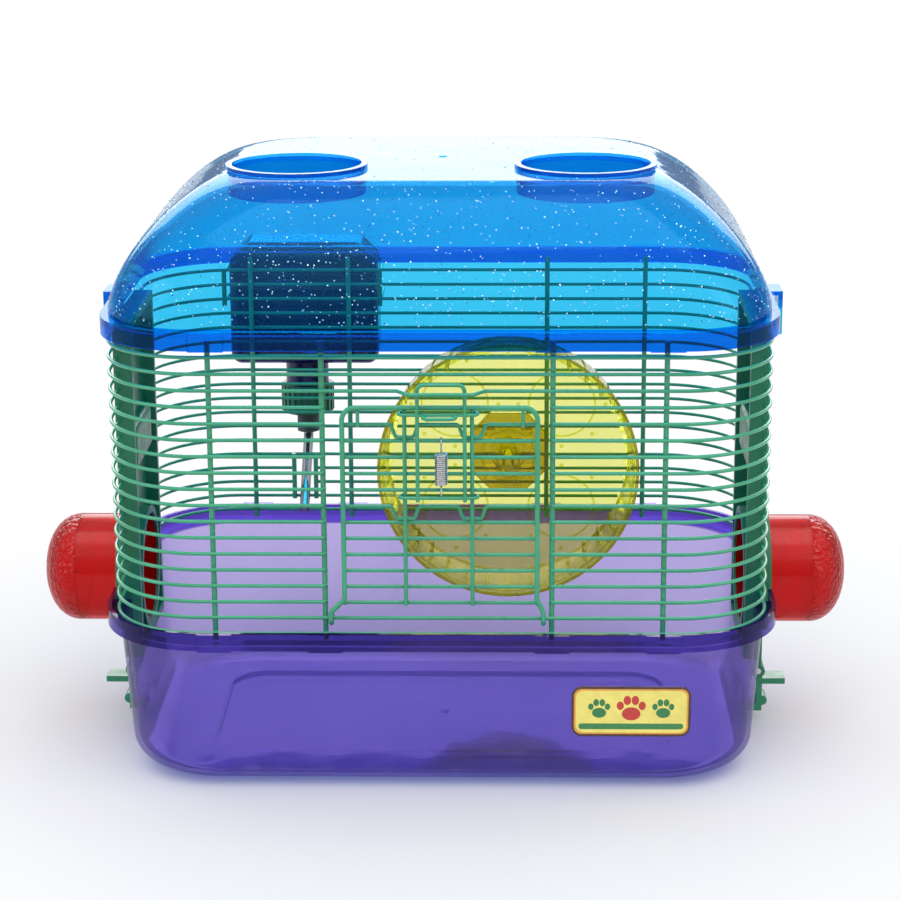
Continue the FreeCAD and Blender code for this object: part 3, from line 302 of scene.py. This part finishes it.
def clear_plastic(name, tint, body, haze=0.06, rim=None, ripple=0.12, stipple=None, deep=2.6,
                  rough=(0.03, 0.09), shine=(0.5, 0.5, 0.5)):
    """Tinted clear moulding: tint per surface, darker where it is seen edge on or in its rim."""
    material, tree, out = new_material(name)
    links = tree.links
    facing = tree.nodes.new("ShaderNodeLayerWeight")
    facing.inputs["Blend"].default_value = 0.35
    edge = math_node(tree, "POWER", facing.outputs["Facing"], 2.2, clamp=True)
    dark = tuple(c ** deep for c in tint)
    colour = mixed(tree, edge, tint, dark)
    if rim:
        colour = mixed(tree, math_node(tree, "MULTIPLY", band(tree, rim[0], rim[1]), rim[2]),
                       colour, tuple(c ** RIM_DEPTH for c in tint))
    clear = tree.nodes.new("ShaderNodeBsdfTransparent")
    links.new(mixed(tree, noise(tree, 9.0, 2.0, 0.0, 0.12), colour, dark), clear.inputs["Color"])
    if stipple:
        cells = tree.nodes.new("ShaderNodeTexVoronoi")
        cells.inputs["Scale"].default_value = stipple
        links.new(place(tree), cells.inputs["Vector"])
        normal = bump(tree, cells.outputs["Distance"], STIPPLE_STRENGTH, STIPPLE_DEPTH)
    else:
        normal = bump(tree, noise(tree, 26.0, 2.0), ripple, RIPPLE_DEPTH)
    solid = tree.nodes.new("ShaderNodeBsdfPrincipled")
    links.new(mixed(tree, noise(tree, 40.0), body, tuple(c * 0.82 for c in body)),
              solid.inputs["Base Color"])
    links.new(noise(tree, 300.0, 4.0, 0.18, 0.34), solid.inputs["Roughness"])
    links.new(normal, solid.inputs["Normal"])
    scuffs = noise(tree, 60.0, 6.0, haze * 0.7, haze * 1.3, stretch=(1, 1, 0.3))
    inner = mix_shader(tree, scuffs, clear.outputs[0], solid.outputs[0])
    gloss = tree.nodes.new("ShaderNodeBsdfGlossy")
    links.new(mixed(tree, edge, shine, EDGE_SHINE), gloss.inputs["Color"])
    links.new(noise(tree, 120.0, 5.0, *rough), gloss.inputs["Roughness"])
    links.new(normal, gloss.inputs["Normal"])
    fresnel = tree.nodes.new("ShaderNodeFresnel")
    side = tree.nodes.new("ShaderNodeNewGeometry")
    index = math_node(tree, "SUBTRACT", PLASTIC_IOR,
                      math_node(tree, "MULTIPLY", side.outputs["Backfacing"],
                                PLASTIC_IOR - 1 / PLASTIC_IOR))
    links.new(index, fresnel.inputs["IOR"])
    links.new(normal, fresnel.inputs["Normal"])
    links.new(mix_shader(tree, fresnel.outputs[0], inner, gloss.outputs[0]),
              out.inputs["Surface"])
    return material


def solid_material(name, colour, other, rough=(0.3, 0.45), metal=0.0, coat=0.0, grain=400.0,
                   grain_strength=0.25, stretch=None):
    """Opaque material with colour variation, uneven gloss and a fine surface grain."""
    material, tree, out = new_material(name)
    shader = tree.nodes.new("ShaderNodeBsdfPrincipled")
    shader.inputs["Metallic"].default_value = metal
    shader.inputs["Coat Weight"].default_value = coat
    shader.inputs["Coat Roughness"].default_value = 0.12
    tree.links.new(mixed(tree, noise(tree, PATCHES, 4.0), colour, other),
                   shader.inputs["Base Color"])
    tree.links.new(noise(tree, 150.0, 5.0, rough[0], rough[1], stretch),
                   shader.inputs["Roughness"])
    tree.links.new(bump(tree, noise(tree, grain, 3.0, stretch=stretch), grain_strength,
                        GRAIN_DEPTH), shader.inputs["Normal"])
    tree.links.new(shader.outputs[0], out.inputs["Surface"])
    return material


def ellipse(tree, axes, centre, radii):
    """One inside an ellipse in the label's plane, nought outside."""
    total = None
    for axis, middle, radius in zip(axes, centre, radii):
        offset = math_node(tree, "DIVIDE", math_node(tree, "SUBTRACT", axis, middle), radius)
        square = math_node(tree, "MULTIPLY", offset, offset)
        total = square if total is None else math_node(tree, "ADD", total, square)
    return math_node(tree, "LESS_THAN", total, 1.0)


def rounded_box(tree, axes, centre, half, radius):
    """One inside a rounded rectangle in the label's plane, nought outside."""
    total = None
    for axis, middle, reach in zip(axes, centre, half):
        away = math_node(tree, "ABSOLUTE", math_node(tree, "SUBTRACT", axis, middle))
        over = math_node(tree, "MAXIMUM", math_node(tree, "SUBTRACT", away, reach - radius), 0.0)
        square = math_node(tree, "MULTIPLY", over, over)
        total = square if total is None else math_node(tree, "ADD", total, square)
    return math_node(tree, "LESS_THAN", total, radius * radius)


# Sizes on the label, in millimetres.
PAW_PADS = ((0, -1.6, 3.5, 2.7), (-4.1, 1.7, 1.35, 1.75), (-1.5, 3.9, 1.4, 1.9),
            (1.5, 3.9, 1.4, 1.9), (4.1, 1.7, 1.35, 1.75))
PAW_RISE = 0.9
PAW_GREEN, PAW_RED = (0.02, 0.20, 0.05), (0.55, 0.03, 0.02)
PAWS = ((-15.0, 0.95, PAW_GREEN), (0.0, 1.25, PAW_RED), (15.0, 0.95, PAW_GREEN))
LABEL_RINGS = ((1.2, (0.80, 0.36, 0.03)), (2.0, (0.93, 0.80, 0.18)))
LABEL_CORNER_R = 3.6
FOOT_DOWN, FOOT_MARGIN, FOOT_HALF, FOOT_R = 7.6, 3.4, 1.5, 1.4


def label_material():
    """Printed label: a framed yellow field with paw prints and a green foot band."""
    low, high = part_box("front_label")
    centre = ((low.x + high.x) / 2, (low.z + high.z) / 2)
    half = ((high.x - low.x) / 2, (high.z - low.z) / 2)
    material, tree, out = new_material("label_print")
    split = tree.nodes.new("ShaderNodeSeparateXYZ")
    tree.links.new(place(tree), split.inputs[0])
    axes = (split.outputs["X"], split.outputs["Z"])
    colour = mixed(tree, noise(tree, 90.0), (0.045, 0.012, 0.008), (0.075, 0.02, 0.012))
    for inset, paint in LABEL_RINGS:
        reach = (half[0] - inset * MM, half[1] - inset * MM)
        shade = tuple(c * 0.86 for c in paint)
        colour = mixed(tree, rounded_box(tree, axes, centre, reach, LABEL_CORNER_R * MM), colour,
                       mixed(tree, noise(tree, 140.0), paint, shade))
    foot = rounded_box(tree, axes, (centre[0], centre[1] - FOOT_DOWN * MM),
                       (half[0] - FOOT_MARGIN * MM, FOOT_HALF * MM), FOOT_R * MM)
    colour = mixed(tree, foot, colour, (0.03, 0.22, 0.06))
    for middle, size, paint in PAWS:
        for x, z, rx, rz in PAW_PADS:
            spot = (centre[0] + (middle + x * size) * MM, centre[1] + (PAW_RISE + z * size) * MM)
            pad = ellipse(tree, axes, spot, (rx * size * MM, rz * size * MM))
            colour = mixed(tree, pad, colour, paint)
    shader = tree.nodes.new("ShaderNodeBsdfPrincipled")
    shader.inputs["Coat Weight"].default_value = 0.4
    tree.links.new(colour, shader.inputs["Base Color"])
    tree.links.new(noise(tree, 250.0, 4.0, 0.22, 0.36), shader.inputs["Roughness"])
    tree.links.new(bump(tree, noise(tree, 500.0), 0.15, 0.00005), shader.inputs["Normal"])
    tree.links.new(shader.outputs[0], out.inputs["Surface"])
    return material


def make_materials():
    """One material for each slot of the record."""
    green = ((0.030, 0.330, 0.165), (0.020, 0.255, 0.125))
    return {
        "tub_plastic": clear_plastic("tub_plastic", (0.742, 0.686, 0.906), (0.17, 0.11, 0.48),
                                     haze=0.035, deep=1.9, shine=(0.30, 0.28, 0.38),
                                     rim=TUB_RIM),
        "lid_plastic": clear_plastic("lid_plastic", (0.215, 0.785, 0.965), (0.004, 0.30, 0.72),
                                     haze=0.03, shine=(0.07, 0.20, 0.26), rim=LID_RIM),
        "ring_plastic": clear_plastic("ring_plastic", (0.20, 0.66, 0.93), (0.004, 0.16, 0.60),
                                      haze=0.08, shine=(0.10, 0.22, 0.30)),
        "plug_red": clear_plastic("plug_red", (0.93, 0.16, 0.11), (0.72, 0.006, 0.003),
                                  haze=0.22, rough=(0.05, 0.12), shine=(0.30, 0.20, 0.20)),
        "plug_red_frosted": clear_plastic("plug_red_frosted", (0.93, 0.15, 0.10),
                                          (0.74, 0.008, 0.004), haze=0.26, stipple=430.0,
                                          rough=(0.08, 0.18), shine=(0.30, 0.20, 0.20)),
        "wheel_yellow": clear_plastic("wheel_yellow", (0.955, 0.965, 0.55), (0.84, 0.80, 0.05),
                                      haze=0.05, deep=4.5, shine=(0.45, 0.45, 0.38)),
        "mount_amber": clear_plastic("mount_amber", (0.88, 0.78, 0.12), (0.68, 0.50, 0.01),
                                     haze=0.30, shine=(0.45, 0.42, 0.30)),
        "bottle_blue": clear_plastic("bottle_blue", (0.06, 0.07, 0.42), (0.006, 0.008, 0.15),
                                     haze=0.55, ripple=0.03, shine=(0.16, 0.18, 0.30)),
        "wire_green": solid_material("wire_green", *green, rough=(0.26, 0.40), coat=0.3,
                                     grain=900.0, grain_strength=0.2),
        "panel_green": solid_material("panel_green", (0.008, 0.190, 0.085), (0.005, 0.140, 0.060),
                                      rough=(0.30, 0.46), grain=1400.0, grain_strength=0.35),
        "latch_green": solid_material("latch_green", (0.018, 0.26, 0.115), (0.012, 0.20, 0.09),
                                      rough=(0.28, 0.42), grain=1200.0),
        "cap_green": solid_material("cap_green", (0.012, 0.16, 0.085), (0.008, 0.12, 0.065),
                                    rough=(0.32, 0.46), grain=1200.0),
        "bush_grey": solid_material("bush_grey", (0.085, 0.105, 0.115), (0.055, 0.07, 0.08),
                                    rough=(0.6, 0.8), grain=1600.0, grain_strength=0.5),
        "tube_steel": solid_material("tube_steel", (0.40, 0.41, 0.43), (0.30, 0.31, 0.33),
                                     rough=(0.12, 0.26), metal=1.0, grain=500.0,
                                     stretch=(6, 6, 1)),
        "spring_steel": solid_material("spring_steel", (0.55, 0.55, 0.56), (0.42, 0.42, 0.44),
                                       rough=(0.22, 0.36), metal=1.0, grain=900.0),
        "pin_steel": solid_material("pin_steel", (0.60, 0.60, 0.61), (0.45, 0.45, 0.47),
                                    rough=(0.25, 0.4), metal=1.0, grain=700.0),
        "label_print": label_material(),
    }


# ---------------------------------------------------------------- mesh helpers
def piece_from(build, name, body, material, smooth=True):
    """Make a piece of a bmesh, riding on a body."""
    mesh = bpy.data.meshes.new(name)
    build.to_mesh(mesh)
    build.free()
    mesh.materials.append(material)
    if smooth:
        mesh.shade_smooth()
    obj = bpy.data.objects.new(name, mesh)
    bpy.context.scene.collection.objects.link(obj)
    if body:
        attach(obj, body)
    return obj


def blob(build, centre, radii, detail=1):
    made = bmesh.ops.create_icosphere(build, subdivisions=detail, radius=1.0)
    shape = Matrix.Translation(centre) @ Matrix.Diagonal((*radii, 1))
    bmesh.ops.transform(build, matrix=shape, verts=made["verts"])


def tube(build, points, radius, sides=10, closed=False):
    """Round wire along a line of points, with capped ends."""
    rings = []
    count = len(points)
    reference = None
    for i, point in enumerate(points):
        before = points[i - 1] if (i or closed) else point
        after = points[(i + 1) % count] if (i + 1 < count or closed) else point
        along = (after - before).normalized()
        if reference is None:
            reference = along.orthogonal().normalized()
        side = (reference - reference.dot(along) * along).normalized()
        reference = side
        other = along.cross(side)
        ring = []
        for k in range(sides):
            turn = 2 * math.pi * k / sides
            ring.append(build.verts.new(point + radius * (math.cos(turn) * side
                                                          + math.sin(turn) * other)))
        rings.append(ring)
    pairs = list(zip(rings, rings[1:] + rings[:1] if closed else rings[1:]))
    for one, two in pairs:
        for k in range(sides):
            build.faces.new((one[k], one[(k + 1) % sides], two[(k + 1) % sides], two[k]))
    if not closed:
        build.faces.new(list(reversed(rings[0])))
        build.faces.new(rings[-1])


# ---------------------------------------------------------------- detail pieces
# Places of the wires and sizes of the details, in millimetres.
ROW_Z0, ROW_PITCH, ROW_COUNT = 80.0, 7.75, 18
ROWS = [(ROW_Z0 + ROW_PITCH * k) * MM for k in range(ROW_COUNT)]
POSTS = (-104.0, -52.5, 52.5, 104.0)
DOOR_UPRIGHTS = (-43.2, 45.6)
DOOR_POSTS = (-14.8, 15.9)
DOOR_ROWS = range(2, 14)
DIPPED = (8, 13)                          # door rows with no weld at the inner posts
WELD_Y = 98.95
WELD_RADII = (1.75, 1.0, 1.15)
DOOR_WELD_Y, DOOR_WELD_RADII = -101.35, (1.5, 1.0, 1.05)
POST_WELD_Y, POST_WELD_RADII = -101.3, (1.4, 0.9, 1.05)
COIL_R, COIL_WIRE_R, COIL_IN = 2.55, 0.42, 3.0
COIL_BOTTOM, COIL_TOP = 153.5, 168.0
COIL_TURNS, COIL_STEPS = 15, 18
FLAKES_OVER_Z = 0.2262                    # metres, the top of the lid's rim
FLAKE_BASE_Z, FLAKE_SPAN = 0.226, 0.058
FLAKE_DEPTH = (-0.05, 0.02)
FLAKE_TILT = 0.5
DISC_T = 2.0
FIELD_OUT, FIELD_R, FIELD_WIRE_R = 40, 17.5, 0.55
PIP_OUT, PIP_LIMIT, PIP_RADII = 23, 61, (1.1, 0.6, 1.1)
HUB_RING_R, HUB_RING_WIRE_R = 14, 0.5
BEAD_IN, BEAD_WIRE_R = 0.7, 0.85
FRONT_BEAD_R, BACK_BEAD_R = 67.3, 64.3
GATE_RADII = (2.2, 2.2, 0.5)


def in_mm(values):
    return tuple(value * MM for value in values)


def make_weld_beads(coat):
    """Pools of coating where the wires are welded."""
    build = bmesh.new()
    for x in POSTS:
        for side in (-1, 1):
            for z in ROWS:
                blob(build, (x * MM, side * WELD_Y * MM, z), in_mm(WELD_RADII))
    piece_from(build, "cage_weld_beads", "cage", coat)
    build = bmesh.new()
    for k in DOOR_ROWS:
        for x in DOOR_UPRIGHTS:
            blob(build, (x * MM, DOOR_WELD_Y * MM, ROWS[k]), in_mm(DOOR_WELD_RADII))
        if k in DIPPED:
            continue
        for x in DOOR_POSTS:
            blob(build, (x * MM, POST_WELD_Y * MM, ROWS[k]), in_mm(POST_WELD_RADII))
    piece_from(build, "door_weld_beads", "front_door", coat)


def make_spring(steel):
    """Close-wound pull spring with its two hooks."""
    low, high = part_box("latch_spring")
    coil_r = COIL_R * MM
    x = (low.x + high.x) / 2
    y = low.y + COIL_IN * MM
    bottom, top = COIL_BOTTOM * MM, COIL_TOP * MM
    points = [Vector((x, high.y, high.z - 0.45 * MM)),
              Vector((x, y + coil_r + 1.2 * MM, high.z - 0.45 * MM)),
              Vector((x, y + coil_r, high.z - 1.6 * MM)), Vector((x, y + coil_r, top + 0.6 * MM))]
    for i in range(COIL_TURNS * COIL_STEPS + 1):
        turn = 2 * math.pi * i / COIL_STEPS
        height = top + (bottom - top) * i / (COIL_TURNS * COIL_STEPS)
        points.append(Vector((x + coil_r * math.sin(turn), y + coil_r * math.cos(turn), height)))
    points += [Vector((x, y + coil_r * 0.4, bottom - 1.6 * MM)),
               Vector((x, y - 0.4 * MM, low.z + 1.3 * MM)), Vector((x, y - 0.6 * MM, low.z))]
    build = bmesh.new()
    tube(build, points, COIL_WIRE_R * MM, sides=8)
    spring = piece_from(build, "latch_coil_spring", None, steel)
    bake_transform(spring)
    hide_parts("latch_spring")


def make_glitter(sparkle_painted_material, material_dark):
    """Flakes at the outer face of the lid's wall, thickest towards its rim; the bright ones are
    real glitter with its sparkle painted in as a near-white colour.
    """
    lid = frame["nodes"]["lid"].data
    lid.calc_loop_triangles()
    dice = random.Random(7)
    middle = Vector((0, 0, 0.2))
    outer = []
    total = 0.0
    for tri in lid.loop_triangles:
        corners = [lid.vertices[i].co for i in tri.vertices]
        centre = sum(corners, Vector()) / 3
        normal = tri.normal
        if normal.dot(centre - middle) <= 0 or centre.z < FLAKES_OVER_Z:
            continue
        weight = tri.area * (1.6 - (centre.z - FLAKE_BASE_Z) / FLAKE_SPAN)
        total += weight
        outer.append((total, corners, normal.copy()))
    totals = [row[0] for row in outer]
    # The first set's near-white material is painted sparkle: glitter shown as if it always catches
    # the light.
    for name, material, count, sizes in (("lid_glitter", sparkle_painted_material, 3200, (0.22, 0.42)),
                                         ("lid_glitter_dark", material_dark, 900, (0.22, 0.40))):
        build = bmesh.new()
        for _ in range(count):
            pick = dice.random() * total
            low, high = 0, len(totals) - 1
            while low < high:
                half = (low + high) // 2
                if totals[half] < pick:
                    low = half + 1
                else:
                    high = half
            _, (a, b, c), normal = outer[low]
            u, v = dice.random(), dice.random()
            if u + v > 1:
                u, v = 1 - u, 1 - v
            point = a + u * (b - a) + v * (c - a) - normal * dice.uniform(*FLAKE_DEPTH) * MM
            tilt = Vector([dice.gauss(0, FLAKE_TILT) for _ in range(3)])
            facing = (normal + tilt).normalized()
            side = facing.orthogonal().normalized()
            other = facing.cross(side)
            radius = dice.uniform(*sizes) * MM
            ring = [build.verts.new(point + radius * (math.cos(k * math.pi / 3) * side
                                                      + math.sin(k * math.pi / 3) * other))
                    for k in range(6)]
            build.faces.new(ring)
        piece_from(build, name, "lid", material, smooth=False)


def make_wheel_relief(yellow, amber):
    """Raised rings and dots on the wheel's disc, and its two rim beads."""
    low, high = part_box("wheel")
    centre = Vector(((low.x + high.x) / 2, 0, (low.z + high.z) / 2))
    disc_y = high.y - DISC_T * MM
    build = bmesh.new()

    def ring(middle, radius, y, thick, steps=72):
        points = []
        for k in range(steps):
            turn = 2 * math.pi * k / steps
            points.append(Vector((middle.x + radius * math.cos(turn), y,
                                  middle.z + radius * math.sin(turn))))
        tube(build, points, thick, sides=8, closed=True)

    for k in range(4):
        turn = math.pi / 4 + k * math.pi / 2
        middle = centre + Vector((FIELD_OUT * MM * math.cos(turn), 0,
                                  FIELD_OUT * MM * math.sin(turn)))
        ring(middle, FIELD_R * MM, disc_y, FIELD_WIRE_R * MM)
        for j in range(8):
            spin = j * math.pi / 4
            spot = middle + Vector((PIP_OUT * MM * math.cos(spin), disc_y,
                                    PIP_OUT * MM * math.sin(spin)))
            if (spot - centre).xz.length < PIP_LIMIT * MM:
                blob(build, spot, in_mm(PIP_RADII), 2)
    ring(centre, HUB_RING_R * MM, disc_y, HUB_RING_WIRE_R * MM)
    piece_from(build, "wheel_relief", "exercise_wheel", yellow)
    build = bmesh.new()
    for radius, y in ((FRONT_BEAD_R, low.y + BEAD_IN * MM), (BACK_BEAD_R, high.y - BEAD_IN * MM)):
        ring(centre, radius * MM, y, BEAD_WIRE_R * MM, 144)
    piece_from(build, "wheel_rim_beads", "exercise_wheel", amber)


def make_gate_marks(tub_plastic, lid_plastic):
    """Moulding gate marks in the middle of the tub's floor and of the lid's top."""
    for name, body, slot, material, at in (
            ("tub_gate_mark", "base_tray", "tub_plastic", tub_plastic, (0, 0, 2.5 * MM)),
            ("lid_gate_mark", "lid", "lid_plastic", lid_plastic, (0, 0.022, CAD_HIGH.z - 2 * MM))):
        build = bmesh.new()
        blob(build, at, in_mm(GATE_RADII), 2)
        piece_from(build, name, body, material)


# ---------------------------------------------------------------- the scene
def main():
    make_camera()
    softboxes = make_studio()
    paint = make_materials()
    for row in frame["record"]["subparts"]:
        node = frame["nodes"][row["node"]]
        node.data.materials.clear()
        node.data.materials.append(paint[row["material_slot"]])
    # Near-white flakes: painted sparkle of the lid's glitter, not the flakes' own colour.
    bright = solid_material("glitter_painted_sparkle", (0.78, 0.93, 1.0), (0.62, 0.86, 1.0),
                            rough=(0.12, 0.25), metal=0.15)
    dark = solid_material("glitter_dark", (0.02, 0.10, 0.30), (0.05, 0.20, 0.45),
                          rough=(0.2, 0.35), metal=0.6)
    rim_amber = clear_plastic("wheel_rim", (0.93, 0.86, 0.10), (0.80, 0.62, 0.02), haze=0.3)
    make_weld_beads(paint["wire_green"])
    make_spring(paint["spring_steel"])
    make_glitter(bright, dark)
    make_wheel_relief(paint["wheel_yellow"], rim_amber)
    make_gate_marks(paint["tub_plastic"], paint["lid_plastic"])
    light_only_the_object(softboxes)


main()
